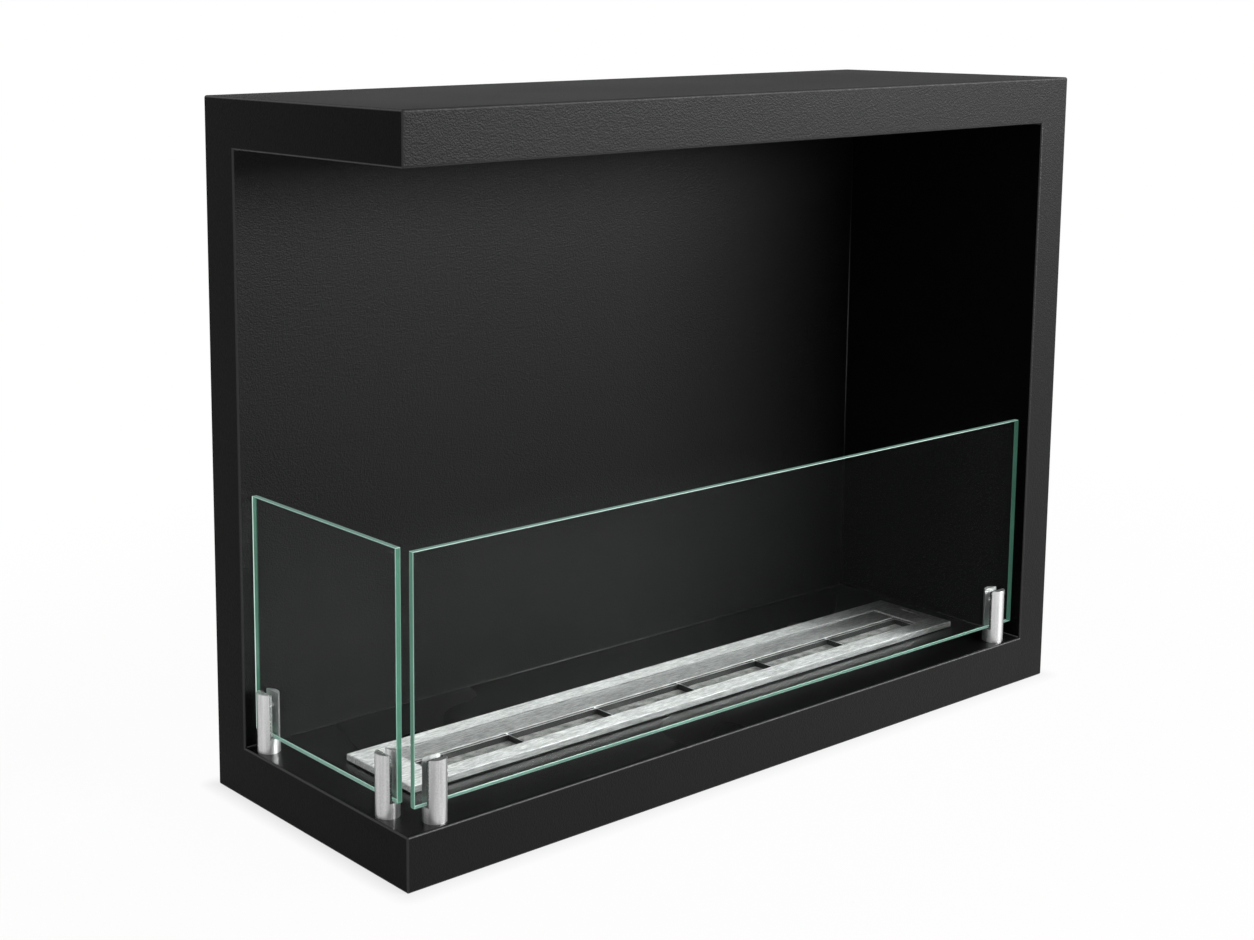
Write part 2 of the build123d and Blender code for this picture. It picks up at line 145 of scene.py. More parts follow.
# Hexagon screws of the rear cover
SCREW_COLUMNS = 3
SCREW_ROWS = 2
SCREW_HEAD_SIDES = 6
SCREW_ACROSS_FLATS = 7.0 * MM
SCREW_CORNER = SCREW_ACROSS_FLATS / 2 / math.cos(math.pi / SCREW_HEAD_SIDES)
SCREW_HEAD_HEIGHT = 2.2 * MM
SCREW_TAPER = 0.35 * MM
SCREW_SHANK = 8.0 * MM
SCREW_SHANK_RADIUS = 2.0 * MM
SCREW_SHANK_SIDES = 24
SCREW_POINT_START = 0.85    # of the shank's length
SCREW_POINT_WIDTH = 0.4     # of the shank's radius
SCREW_TURN_SEED = 3

# Which way faces look, as the part of their normal along an axis: from the first value, where an
# effect starts, to the second, where it is full
LOOKS_UP = (0.6, 0.95)
LOOKS_LEFT = (-0.6, -0.95)
LEFT_END = (-0.3, -0.8)
LIES_FLAT = (0.2, 0.5)
SQUARE_TO_FRAME = (0.93, 0.998)

# Sockets of a Mix node, by their places on it, because several of them share a name
NUMBER_A, NUMBER_B, MIXED_NUMBER = 2, 3, 0
COLOUR_A, COLOUR_B, MIXED_COLOUR = 6, 7, 2


# ---------------------------------------------------------------- wiring of nodes
class Nodes:
    """A tree of nodes, and short calls that add to it."""

    def __init__(self, tree):
        self.tree = tree
        self.tree.nodes.clear()

    def add(self, kind, inputs=None, **settings):
        """A node with its settings, and with its inputs joined to sockets or set to values."""
        node = self.tree.nodes.new(kind)
        for name, value in settings.items():
            setattr(node, name, value)
        for name, value in (inputs or {}).items():
            if isinstance(value, bpy.types.NodeSocket):
                self.tree.links.new(value, node.inputs[name])
            else:
                node.inputs[name].default_value = value
        return node

    def reckon(self, operation, *values):
        """A number worked out from others."""
        return self.add("ShaderNodeMath", dict(enumerate(values)), operation=operation).outputs[0]

    def vector(self, operation, first, second=(0, 0, 0)):
        """A vector worked out from one or two others."""
        inputs = {0: first, 1: second}
        return self.add("ShaderNodeVectorMath", inputs, operation=operation).outputs["Vector"]

    def parts(self, vector):
        """The parts of a vector along X, Y and Z."""
        return self.add("ShaderNodeSeparateXYZ", {"Vector": vector}).outputs

    def joined(self, x=0.0, y=0.0, z=0.0):
        """A vector from its parts."""
        return self.add("ShaderNodeCombineXYZ", {"X": x, "Y": y, "Z": z}).outputs["Vector"]

    def shown_white(self):
        """One for the rays that show the background: to the camera, mirrored, or through the glass."""
        path = self.add("ShaderNodeLightPath").outputs
        seen_or_mirrored = self.reckon("MAXIMUM", path["Is Camera Ray"], path["Is Glossy Ray"])
        return self.reckon("MAXIMUM", seen_or_mirrored, path["Is Transmission Ray"])


class Wiring(Nodes):
    """A new material, and short calls for its patterns and its colours."""

    def __init__(self, name):
        self.material = bpy.data.materials.new(name)
        self.material.use_nodes = True
        super().__init__(self.material.node_tree)
        self.place = self.add("ShaderNodeTexCoord").outputs["Object"]

    def noise(self, scale, detail=3.0, rough=0.5, place=None):
        """Cloudy noise, on the object's own coordinates where no others are given."""
        node = self.add(
            "ShaderNodeTexNoise",
            {"Vector": place or self.place, "Scale": scale, "Detail": detail, "Roughness": rough},
        )
        return node.outputs["Fac"]

    def streaks(self, scales, detail=3.0, rough=0.6):
        """Noise with a scale for each axis, which is drawn out along the smallest."""
        place = self.add("ShaderNodeMapping", {"Vector": self.place, "Scale": scales}).outputs["Vector"]
        return self.noise(1.0, detail, rough, place)

    def pebbles(self, scale):
        """Rounded bumps packed side by side."""
        node = self.add(
            "ShaderNodeTexVoronoi",
            {"Vector": self.place, "Scale": scale, "Smoothness": 0.6},
            feature="SMOOTH_F1",
        )
        return node.outputs["Distance"]

    def spread(self, value, low, high, start=0.3, end=0.7):
        """Low where the value is at the start or before it, and high at the end or past it.

        The start and end that are used when none are given suit plain noise.
        """
        node = self.add(
            "ShaderNodeMapRange",
            {"Value": value, "From Min": start, "From Max": end, "To Min": low, "To Max": high},
        )
        return node.outputs["Result"]

    def sum(self, first, second, share):
        """The first value with a share of the second added to it."""
        return self.reckon("MULTIPLY_ADD", second, share, first)

    def mix_colours(self, share, first, second):
        """A colour between two others."""
        inputs = {"Factor": share, COLOUR_A: first, COLOUR_B: second}
        return self.add("ShaderNodeMix", inputs, data_type="RGBA").outputs[MIXED_COLOUR]

    def tint(self, value, dark, light, start=0.3, end=0.7):
        """A colour from dark to light, by a pattern's value."""
        return self.mix_colours(self.spread(value, 0.0, 1.0, start, end), (*dark, 1), (*light, 1))

    def blend(self, share, first, second):
        """A number or a colour between two others."""
        if isinstance(first, bpy.types.NodeSocket) and first.type == "RGBA":
            return self.mix_colours(share, first, second)
        inputs = {"Factor": share, NUMBER_A: first, NUMBER_B: second}
        return self.add("ShaderNodeMix", inputs).outputs[MIXED_NUMBER]

    def beyond(self, axis, start, end):
        """From nothing to one between two places along an axis of the frame."""
        return self.spread(self.parts(self.place)[axis], 0.0, 1.0, start, end)

    def normal(self):
        """Which way a spot of the surface looks."""
        return self.add("ShaderNodeNewGeometry").outputs["Normal"]

    def facing(self, axis, start, end):
        """From nothing to one as faces turn to look along an axis."""
        return self.spread(self.parts(self.normal())[axis], 0.0, 1.0, start, end)

    def either_way(self):
        """How far a face looks along each axis, to whichever side."""
        return self.parts(self.vector("ABSOLUTE", self.normal()))

    def bend(self, low, high):
        """Low on faces that are square to the frame, and high on the rounded folds between them."""
        along = self.either_way()
        most = self.reckon("MAXIMUM", self.reckon("MAXIMUM", along["X"], along["Y"]), along["Z"])
        return self.spread(most, high, low, *SQUARE_TO_FRAME)

    def tangent_across(self, lines):
        """The direction on the surface that runs across brush lines."""
        return self.vector("CROSS_PRODUCT", self.normal(), lines)

    def bump(self, height, strength, depth):
        """Relief that is too fine to be modelled."""
        inputs = {"Height": height, "Strength": strength, "Distance": depth}
        return self.add("ShaderNodeBump", inputs).outputs["Normal"]

    def surface(self, **inputs):
        """The shader, with its sockets named as words joined by underlines."""
        named = {name.replace("_", " "): value for name, value in inputs.items()}
        return self.add("ShaderNodeBsdfPrincipled", named).outputs["BSDF"]

    def finish(self, shader):
        """The material, once its shader is joined to it."""
        self.add("ShaderNodeOutputMaterial", {"Surface": shader})
        return self.material


# ---------------------------------------------------------------- materials
def grey(level):
    """A grey, as a colour."""
    return (level, level, level)


def make_powder_coat(name, dark, light, above_sheen, above_rough, above_grain):
    """Matt black powder coat with a fine pebbled skin, and more sheen along the folds.

    Faces that look up have a reflection, a roughness and a strength of grain of their own. Faces that
    look to the left are smoother than the rest, and reflect less.
    """
    look = Wiring(name)
    grains = look.pebbles(COAT_GRAIN)
    ripple = look.noise(COAT_RIPPLE, detail=2.0)
    drift = look.noise(4.0, detail=2.0)
    skin = look.sum(grains, ripple, 0.6)
    shade = look.sum(skin, drift, 0.25)
    above = look.facing("Z", *LOOKS_UP)
    sidelong = look.facing("X", *LOOKS_LEFT)
    sheen = look.blend(sidelong, look.bend(0.11, 0.4), look.bend(0.035, 0.4))
    satin = look.spread(ripple, 0.39, 0.49)
    satin_above = look.spread(drift, above_rough - 0.02, above_rough + 0.02)
    grain_strength = look.blend(above, look.blend(sidelong, 0.75, 0.35), above_grain)
    return look.finish(
        look.surface(
            Base_Color=look.tint(shade, light, dark, 0.45, 1.15),
            Roughness=look.blend(above, satin, satin_above),
            Specular_IOR_Level=look.blend(above, sheen, above_sheen),
            Normal=look.bump(skin, grain_strength, COAT_RELIEF),
        )
    )


def make_brushed_sheet(name, dark, light, rough, painted_edge_light, edge_rough, painted_shadow_top=0.0):
    """Stainless sheet brushed along X on its upper side, and plainer on its folded or cut edges.

    The edges, except those that look to the left, take a share of the tone that is given for them:
    painted shade where it is below one, and a painted highlight where it is above. A dark band of
    painted shadow lies along the foot, below the top that is given for it.
    """
    look = Wiring(name)
    long_lines = look.streaks((60.0, 620.0, 620.0))
    short_lines = look.streaks((260.0, 1300.0, 1300.0), rough=0.65)
    flecks = look.streaks((105.0, 560.0, 560.0), rough=0.65)
    lines = look.sum(long_lines, short_lines, 1.0)
    shade = look.sum(flecks, lines, 0.6)
    above = look.facing("Z", *LOOKS_UP)
    satin = look.spread(lines, rough - 0.07, rough + 0.08, 0.7, 1.3)
    # painted light: edges that don't look left are darkened or lightened by how the light falls on them
    edge_painted_light = look.tint(long_lines, grey(dark * painted_edge_light), grey(light * painted_edge_light))
    left_edge = look.tint(long_lines, grey(dark), grey(light))
    edge = look.blend(look.facing("X", *LEFT_END), edge_painted_light, left_edge)
    brushed = look.blend(above, edge, look.tint(shade, grey(dark), grey(light), 0.85, 1.35))
    # painted shadow: a dark band at the foot of the lip, where it meets the hearth
    painted_shadow = look.beyond("Z", painted_shadow_top + PAINTED_SHADOW_BLUR, painted_shadow_top - PAINTED_SHADOW_BLUR)
    shadow_black = look.tint(flecks, grey(0.004), grey(0.01))
    return look.finish(
        look.surface(
            Base_Color=look.blend(painted_shadow, brushed, shadow_black),
            Metallic=1.0,
            Roughness=look.blend(above, edge_rough, satin),
            Anisotropic=look.blend(above, 0.2, 0.9),
            Tangent=look.tangent_across((1.0, 0.02, 0.015)),
            Normal=look.bump(lines, 0.3, 0.06 * MM),
        )
    )


def make_turned_steel(name):
    """Satin stainless steel with soft streaks along its length, and paler where it isn't polished."""
    look = Wiring(name)
    streaks = look.streaks((190.0, 190.0, 5.0))
    haze = look.noise(900.0, detail=3.0)
    shade = look.sum(streaks, haze, 0.35)
    shade_ends = (0.5, 0.85)
    return look.finish(
        look.surface(
            Base_Color=look.tint(shade, grey(0.42), grey(0.74), *shade_ends),
            Metallic=0.72,
            Roughness=look.spread(shade, 0.28, 0.36, *shade_ends),
            Anisotropic=0.7,
            Tangent=look.joined(z=1.0),
            Normal=look.bump(streaks, 0.1, 0.04 * MM),
        )
    )


def let_lamps_through(look, shader, colour):
    """Glass that passes the lamps' light to what is behind it."""
    path = look.add("ShaderNodeLightPath").outputs["Is Shadow Ray"]
    clear = look.add("ShaderNodeBsdfTransparent", {"Color": (*colour, 1)}).outputs["BSDF"]
    return look.add("ShaderNodeMixShader", {0: path, 1: shader, 2: clear}).outputs["Shader"]


def make_clear_glass(name):
    """Clear glass that mirrors little, with a faint painted glow which lifts the black behind it."""
    look = Wiring(name)
    haze = look.noise(5.0, detail=3.0)
    shader = look.surface(
        Base_Color=(0.975, 0.99, 0.983, 1),
        Roughness=0.0,
        IOR=1.03,
        Transmission_Weight=1.0,
        # painted glow: a weak emission, varied by noise, that lifts the black behind the glass
        Emission_Color=(0.95, 1.0, 0.98, 1),
        Emission_Strength=look.spread(haze, 0.0012, 0.0016),
    )
    return look.finish(let_lamps_through(look, shader, (0.95, 0.98, 0.965)))


def make_glass_edge(name):
    """The polished edge of a pane, which glows with painted light, green from the glass behind it and
    paler along the top and foot.

    The right end of the front pane and the rear end of the side pane stand in the dark of the case,
    and their glow is dimmed as painted shade. Painted highlights lie along the outer rim of the rear
    end and on the eased corners of the other edges.
    """
    look = Wiring(name)
    depth = look.noise(14.0, detail=2.0)
    right_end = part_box("front_pane")[1].x
    rear_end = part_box("side_pane")[1].y
    outer_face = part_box("side_pane")[0].x
    at_right = look.beyond("X", right_end - END_START, right_end - END_FULL)
    at_rear = look.beyond("Y", rear_end - END_START, rear_end - END_FULL)
    at_rim = look.beyond("X", outer_face + RIM_START, outer_face + RIM_FULL)
    at_either_end = look.sum(at_right, at_rear, 1.0)
    # painted light: a glow for edges in the light and, as painted shade, a dimmer one for the ends in the
    # dark
    in_light = look.tint(depth, (0.045, 0.17, 0.11), (0.07, 0.235, 0.16))
    in_dark = look.tint(depth, (0.03, 0.085, 0.06), (0.045, 0.12, 0.09))
    painted_rear_highlight = look.tint(depth, (0.8, 1.0, 0.92), (0.9, 1.0, 0.96))
    end = look.blend(at_rear, in_dark, look.blend(at_rim, in_dark, painted_rear_highlight))
    upright = look.blend(at_either_end, in_light, end)
    level = look.tint(depth, (0.18, 0.3, 0.255), (0.235, 0.375, 0.33))
    lying = look.spread(look.either_way()["Z"], 0.0, 1.0, *LIES_FLAT)
    colour = look.blend(lying, upright, level)
    # painted highlights on the eased corners and along the rim of the rear end
    painted_rim_highlight = look.tint(depth, (0.32, 0.56, 0.46), (0.42, 0.66, 0.56))
    painted_highlights = look.blend(at_either_end, painted_rim_highlight, end)
    return look.finish(
        look.surface(
            Base_Color=look.tint(depth, (0.015, 0.045, 0.03), (0.02, 0.06, 0.04)),
            Roughness=0.12,
            IOR=1.5,
            Specular_IOR_Level=0.35,
            Emission_Color=look.blend(look.bend(0.0, 1.0), colour, painted_highlights),
            Emission_Strength=0.72,
        )
    )


def make_wool(name):
    """Grey ceramic wool: pale fibre with darker pits."""
    look = Wiring(name)
    clumps = look.streaks((75.0, 110.0, 110.0), detail=2.0, rough=0.5)
    tufts = look.streaks((300.0, 700.0, 700.0), detail=4.0, rough=0.65)
    shade = look.sum(clumps, tufts, 0.6)
    return look.finish(
        look.surface(
            Base_Color=look.tint(shade, grey(0.04), (0.34, 0.335, 0.325), 0.55, 1.0),
            Roughness=0.95,
            Specular_IOR_Level=0.15,
            Sheen_Weight=0.2,
            Normal=look.bump(shade, 0.8, 0.5 * MM),
        )
    )


def make_plain_steel(name, dark, light, painted_wall_shade):
    """Mill-finish stainless sheet, with painted shade on the faces that don't look up, by the share given.
    """
    look = Wiring(name)
    rolled = look.streaks((25.0, 500.0, 500.0))
    cloud = look.noise(55.0, detail=3.0)
    shade = look.sum(rolled, cloud, 0.6)
    shade_ends = (0.5, 1.1)
    # painted shade: the faces that don't look up are darkened by the given share
    wall = look.tint(shade, grey(dark * painted_wall_shade), grey(light * painted_wall_shade), *shade_ends)
    level = look.tint(shade, grey(dark), grey(light), *shade_ends)
    return look.finish(
        look.surface(
            Base_Color=look.blend(look.facing("Z", *LOOKS_UP), wall, level),
            Metallic=1.0,
            Roughness=look.spread(shade, 0.34, 0.5, *shade_ends),
            Normal=look.bump(rolled, 0.15, 0.04 * MM),
        )
    )


def make_zinc(name, dark, light, spangle=130.0):
    """Zinc-coated steel with its faint crystals, clouded and rubbed here and there."""
    look = Wiring(name)
    cells = look.add("ShaderNodeTexVoronoi", {"Vector": look.place, "Scale": spangle}, feature="F1")
    crystals = look.add("ShaderNodeSeparateColor", {"Color": cells.outputs["Color"]}).outputs["Red"]
    scuffs = look.noise(9.0, detail=6.0, rough=0.65)
    clouds = look.sum(scuffs, look.noise(260.0, detail=3.0), 0.35)
    shade = look.sum(clouds, crystals, 0.3)
    shade_ends = (0.4, 1.25)
    return look.finish(
        look.surface(
            Base_Color=look.tint(shade, dark, light, *shade_ends),
            Metallic=1.0,
            Roughness=look.spread(shade, 0.38, 0.5, *shade_ends),
            Normal=look.bump(scuffs, 0.1, 0.05 * MM),
        )
    )


def make_fibre_board(name):
    """Pale insulating board of pressed fibre."""
    look = Wiring(name)
    fibres = look.streaks((240.0, 240.0, 900.0), detail=5.0, rough=0.7)
    specks = look.noise(1400.0, detail=2.0)
    shade = look.sum(fibres, specks, 0.3)
    return look.finish(
        look.surface(
            Base_Color=look.tint(shade, (0.58, 0.55, 0.48), (0.78, 0.76, 0.70), 0.45, 0.85),
            Roughness=0.93,
            Specular_IOR_Level=0.2,
            Normal=look.bump(shade, 0.6, 0.4 * MM),
        )
    )


def make_soft_plastic(name, dark, light, rough, clear=0.0):
    """Soft plastic with a slight haze. clear is how much light it lets through."""
    look = Wiring(name)
    haze = look.noise(420.0, detail=3.0)
    return look.finish(
        look.surface(
            Base_Color=look.tint(haze, dark, light),
            Roughness=look.spread(haze, rough - 0.05, rough + 0.08),
            Transmission_Weight=clear,
            Normal=look.bump(haze, 0.15, 0.05 * MM),
        )
    )


coat = make_powder_coat(
    "powder_coat", grey(0.0025), grey(0.0045), above_sheen=0.003, above_rough=0.4, above_grain=0.6
)
hearth_coat = make_powder_coat(
    "hearth_coat", grey(0.0035), grey(0.005), above_sheen=0.3, above_rough=0.27, above_grain=0.02
)
# painted shade darkens the burner's edges, and a painted highlight brightens the slider's
burner_brushed = make_brushed_sheet(
    "burner_brushed", 0.4, 0.92, rough=0.42, painted_edge_light=0.34, edge_rough=0.55, painted_shadow_top=PAINTED_SHADOW_TOP
)
slider_brushed = make_brushed_sheet(
    "slider_brushed", 0.19, 0.53, rough=0.4, painted_edge_light=1.8, edge_rough=0.45
)
turned_steel = make_turned_steel("turned_steel")
clear_glass = make_clear_glass("clear_glass")
glass_edge = make_glass_edge("glass_edge")
wool = make_wool("ceramic_wool")
# painted shade darkens the trough's walls and ribs; the tank gets none
trough_steel = make_plain_steel("trough_steel", 0.75, 0.95, painted_wall_shade=0.1)
tank_steel = make_plain_steel("tank_steel", 0.2, 0.38, painted_wall_shade=1.0)
zinc_sheet = make_zinc("zinc_sheet", grey(0.3), grey(0.5))
zinc_screw = make_zinc("zinc_screw", (0.5, 0.49, 0.46), (0.7, 0.69, 0.65), spangle=260.0)
fibre_board = make_fibre_board("fibre_board")
soft_tip = make_soft_plastic("soft_tip", grey(0.55), grey(0.72), rough=0.4)
clear_liner = make_soft_plastic("clear_liner", grey(0.72), grey(0.82), rough=0.22, clear=0.85)

PAINTED = {
    coat: ["top_shell", "right_shell", "rear_shell"],
    hearth_coat: ["base_shell"],
    zinc_sheet: [
        "rear_cover",
        "cover_rails",
        "hanger_doublers",
        "top_stiffeners",
        "base_channels",
        "spill_tray",
    ],
    zinc_screw: ["foot_screws"],
    fibre_board: ["rear_insulation", "right_insulation", "top_insulation"],
    turned_steel: [
        "side_rear_post",
        "side_front_post",
        "front_left_post",
        "front_right_post",
        "clamp_screws",
    ],
    soft_tip: ["clamp_tips"],
    clear_liner: ["glass_liners"],
    burner_brushed: ["burner_top"],
    slider_brushed: ["regulator_plate"],
    trough_steel: ["trough", "trough_ribs", "rib_rail"],
    tank_steel: ["burner_tank"],
}

for material, nodes in PAINTED.items():
    for node in nodes:
        for material_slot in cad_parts[node].material_slots:
            material_slot.material = material


# ---------------------------------------------------------------- making pieces
def new_object(name, data):
    """An object of the scene, made from its data."""
    made = bpy.data.objects.new(name, data)
    bpy.context.scene.collection.objects.link(made)
    return made


def plain_mesh(name, shape):
    """The shape as a mesh. The shape itself is given up."""
    mesh = bpy.data.meshes.new(name)
    shape.to_mesh(mesh)
    shape.free()
    return mesh


def seat(piece, node, body):
    """The piece stands for a node of the model, on its body."""
    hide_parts(node)
    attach(piece, body)


# ---------------------------------------------------------------- glass panes
def make_pane(name, node, body, across):
    """A pane with eased edges: clear faces, and green edges all round. across is its thin axis."""
    low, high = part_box(node)
    placed = Matrix.Translation((high + low) / 2) @ Matrix.Diagonal((*(high - low), 1))
    shape = bmesh.new()
    bmesh.ops.create_cube(shape, size=1.0)
    bmesh.ops.transform(shape, matrix=placed, verts=shape.verts)
    bmesh.ops.bevel(
        shape,
        geom=shape.edges,
        offset=GLASS_ARRIS,
        segments=GLASS_ARRIS_STEPS,
        profile=0.5,
        affect="EDGES",
    )
    for face in shape.faces:
        face.material_index = 0 if abs(face.normal[across]) > CLEAR_FACE else 1
    mesh = plain_mesh(name, shape)
    mesh.materials.append(clear_glass)
    mesh.materials.append(glass_edge)
    seat(new_object(name, mesh), node, body)


make_pane("side_glass_pane", "side_pane", "side_glass", 0)
make_pane("front_glass_pane", "front_pane", "front_glass", 1)


# ---------------------------------------------------------------- folds of the fire chamber
def make_inner_folds():
    """The small inside radius where the walls of the fire chamber meet."""
    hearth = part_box("rear_shell")[0].z
    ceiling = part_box("rear_shell")[1].z
    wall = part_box("right_shell")[0].x
    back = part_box("rear_shell")[0].y
    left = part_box("base_shell")[0].x + FOLD_INSET
    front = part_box("base_shell")[0].y + FOLD_INSET
    along_x, along_y, along_z = Vector((1, 0, 0)), Vector((0, 1, 0)), Vector((0, 0, 1))
    folds = [
        (Vector((left, back, hearth)), along_x * (wall - left), -along_y, along_z),
        (Vector((left, back, ceiling)), along_x * (wall - left), -along_y, -along_z),
        (Vector((wall, back, hearth)), along_z * (ceiling - hearth), -along_x, -along_y),
        (Vector((wall, front, hearth)), along_y * (back - front), -along_x, along_z),
        (Vector((wall, front, ceiling)), along_y * (back - front), -along_x, -along_z),
    ]
    shape = bmesh.new()
    for corner, run, first, second in folds:
        section = [corner]
        for step in range(FOLD_STEPS + 1):
            turn = math.pi / 2 * step / FOLD_STEPS
            reach = first * (1 - math.sin(turn)) + second * (1 - math.cos(turn))
            section.append(corner + FOLD_RADIUS * reach)
        starts = [shape.verts.new(point) for point in section]
        ends = [shape.verts.new(point + run) for point in section]
        shape.faces.new(starts)
        shape.faces.new(ends)
        for step in range(len(section)):
            beside = (step + 1) % len(section)
            side = shape.faces.new((starts[step], starts[beside], ends[beside], ends[step]))
            side.smooth = 0 < step < len(section) - 1
    bmesh.ops.recalc_face_normals(shape, faces=shape.faces)
    mesh = plain_mesh("inner_folds", shape)
    mesh.materials.append(coat)
    piece = new_object("inner_folds", mesh)
    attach(piece, "case")


make_inner_folds()


# ---------------------------------------------------------------- trees of geometry nodes
class Growth(Nodes):
    """A tree of geometry nodes with named sizes, which is run once and turned into a plain mesh."""

    def __init__(self, name):
        super().__init__(bpy.data.node_groups.new(name, "GeometryNodeTree"))
        for direction in ("INPUT", "OUTPUT"):
            self.tree.interface.new_socket("Geometry", in_out=direction, socket_type="NodeSocketGeometry")
        self.values = {}
        self.start = self.add("NodeGroupInput")
        self.geometry = self.start.outputs["Geometry"]

    def size(self, name, kind, value):
        """A named input of the tree, with the value that it gets."""
        socket = self.tree.interface.new_socket(name, in_out="INPUT", socket_type=kind)
        self.values[socket.identifier] = value
        return self.start.outputs[name]

    def random_turn(self, least, most, seed):
        """Turns about X, Y and Z, at random between two limits."""
        inputs = {0: least, 1: most, "Seed": seed}
        return self.add("FunctionNodeRandomValue", inputs, data_type="FLOAT_VECTOR").outputs[0]

    def grow(self, name, seed_mesh, geometry, material):
        """Ends the tree, runs it on the seed mesh and gives the result as a piece of plain mesh."""
        real = self.add("GeometryNodeRealizeInstances", {"Geometry": geometry})
        dressed = self.add("GeometryNodeSetMaterial", {"Geometry": real.outputs[0], "Material": material})
        self.add("NodeGroupOutput", {"Geometry": dressed.outputs[0]})
        piece = new_object(name, seed_mesh)
        modifier = piece.modifiers.new("growth", "NODES")
        modifier.node_group = self.tree
        for identifier, value in self.values.items():
            modifier[identifier] = value
        bpy.context.view_layer.update()
        grown = piece.evaluated_get(bpy.context.evaluated_depsgraph_get())
        mesh = bpy.data.meshes.new_from_object(grown)
        piece.modifiers.clear()
        piece.data = mesh
        return piece


# ---------------------------------------------------------------- ceramic wool
def make_pads():
    """Six pads of wool in a row, with a lumpy upper side."""
    low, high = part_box("ceramic_wool")
    middle = (low + high) / 2
    pitch = (high.x - low.x + PAD_GAP) / CELLS
    tree = Growth("wool_pads")
    count = tree.size("Cells", "NodeSocketInt", CELLS)
    step = tree.size("Pitch", "NodeSocketFloat", pitch)
    gap = tree.size("Gap", "NodeSocketFloat", PAD_GAP)
    lumps = tree.size("Lumps", "NodeSocketFloat", PAD_LUMPS)
    length = tree.reckon("SUBTRACT", step, gap)
    pad_size = tree.joined(length, high.y - low.y, high.z - low.z)
    pad = tree.add("GeometryNodeMeshCube", {"Size": pad_size, **PAD_POINTS})
    first = Vector((low.x + (pitch - PAD_GAP) / 2, middle.y, middle.z))
    row = tree.add(
        "GeometryNodeMeshLine",
        {"Count": count, "Start Location": first, "Offset": tree.joined(x=step)},
        mode="OFFSET",
    )
    placed = tree.add(
        "GeometryNodeInstanceOnPoints", {"Points": row.outputs[0], "Instance": pad.outputs["Mesh"]}
    )
    real = tree.add("GeometryNodeRealizeInstances", {"Geometry": placed.outputs[0]})
    place = tree.add("GeometryNodeInputPosition").outputs[0]
    on_top = tree.reckon("GREATER_THAN", tree.parts(place)["Z"], high.z - PAD_SKIN)
    coarse = tree.add("ShaderNodeTexNoise", {"Vector": place, "Scale": PAD_LUMP_SCALE, "Detail": 4.0})
    drop = tree.reckon("MULTIPLY", coarse.outputs["Fac"], lumps)
    drop_on_top = tree.reckon("MULTIPLY", drop, on_top)
    sink = tree.reckon("MULTIPLY", drop_on_top, -1.0)
    shaped = tree.add(
        "GeometryNodeSetPosition", {"Geometry": real.outputs[0], "Offset": tree.joined(z=sink)}
    )
    smooth = tree.add("GeometryNodeSetShadeSmooth", {"Geometry": shaped.outputs[0]})
    pads = tree.grow("wool_pads", bpy.data.meshes.new("wool_row"), smooth.outputs[0], wool)
    seat(pads, "ceramic_wool", "burner")
    return pads


def make_fibres(pads):
    """Loose fibres that lie on the wool, bent a little and turned at random."""
    low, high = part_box("ceramic_wool")
    tree = Growth("wool_fibres")
    density = tree.size("Density", "NodeSocketFloat", FIBRES_PER_SQUARE_METRE)
    length = tree.size("Length", "NodeSocketFloat", FIBRE_LENGTH)
    radius = tree.size("Radius", "NodeSocketFloat", FIBRE_RADIUS)
    normal = tree.add("GeometryNodeInputNormal").outputs[0]
    on_top = tree.reckon("GREATER_THAN", tree.parts(normal)["Z"], FIBRE_GROUND)
    spots = tree.add(
        "GeometryNodeDistributePointsOnFaces",
        {"Mesh": tree.geometry, "Selection": on_top, "Density": density, "Seed": FIBRE_SEED},
    )
    arc = tree.add(
        "GeometryNodeCurveQuadraticBezier",
        {
            "Resolution": FIBRE_STEPS,
            "Start": tree.joined(x=tree.reckon("MULTIPLY", length, -0.5)),
            "Middle": tree.joined(y=tree.reckon("MULTIPLY", length, FIBRE_BOW)),
            "End": tree.joined(x=tree.reckon("MULTIPLY", length, 0.5)),
        },
    )
    ring = tree.add("GeometryNodeCurvePrimitiveCircle", {"Resolution": FIBRE_SIDES, "Radius": radius})
    hair = tree.add(
        "GeometryNodeCurveToMesh",
        {"Curve": arc.outputs[0], "Profile Curve": ring.outputs[0], "Fill Caps": True},
    )
    turn = tree.random_turn(
        (-FIBRE_LEAN, -FIBRE_LEAN, 0.0), (FIBRE_LEAN, FIBRE_LEAN, 2 * math.pi), FIBRE_TURN_SEED
    )
    hairs = tree.add(
        "GeometryNodeInstanceOnPoints",
        {"Points": spots.outputs["Points"], "Instance": hair.outputs[0], "Rotation": turn},
    )
    fibres = tree.grow("wool_fibres", pads.data.copy(), hairs.outputs[0], wool)
    for vertex in fibres.data.vertices:
        vertex.co.x = min(max(vertex.co.x, low.x), high.x)
        vertex.co.y = min(max(vertex.co.y, low.y), high.y)
        vertex.co.z = min(vertex.co.z, high.z + FIBRE_RISE)
    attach(fibres, "burner")


make_fibres(make_pads())


# ---------------------------------------------------------------- screws of the rear cover
def add_rod(shape, profile, sides):
    """A closed rod along Y with flat ends, from pairs of a radius and a height."""
    rings = []
    for radius, height in profile:
        ring = []
        for step in range(sides):
            angle = 2 * math.pi * step / sides
            ring.append(shape.verts.new((radius * math.cos(angle), height, radius * math.sin(angle))))
        rings.append(ring)
    for ring, following in zip(rings, rings[1:]):
        for step in range(sides):
            beside = (step + 1) % sides
            shape.faces.new((ring[step], ring[beside], following[beside], following[step]))
    shape.faces.new(rings[0])
    shape.faces.new(rings[-1])


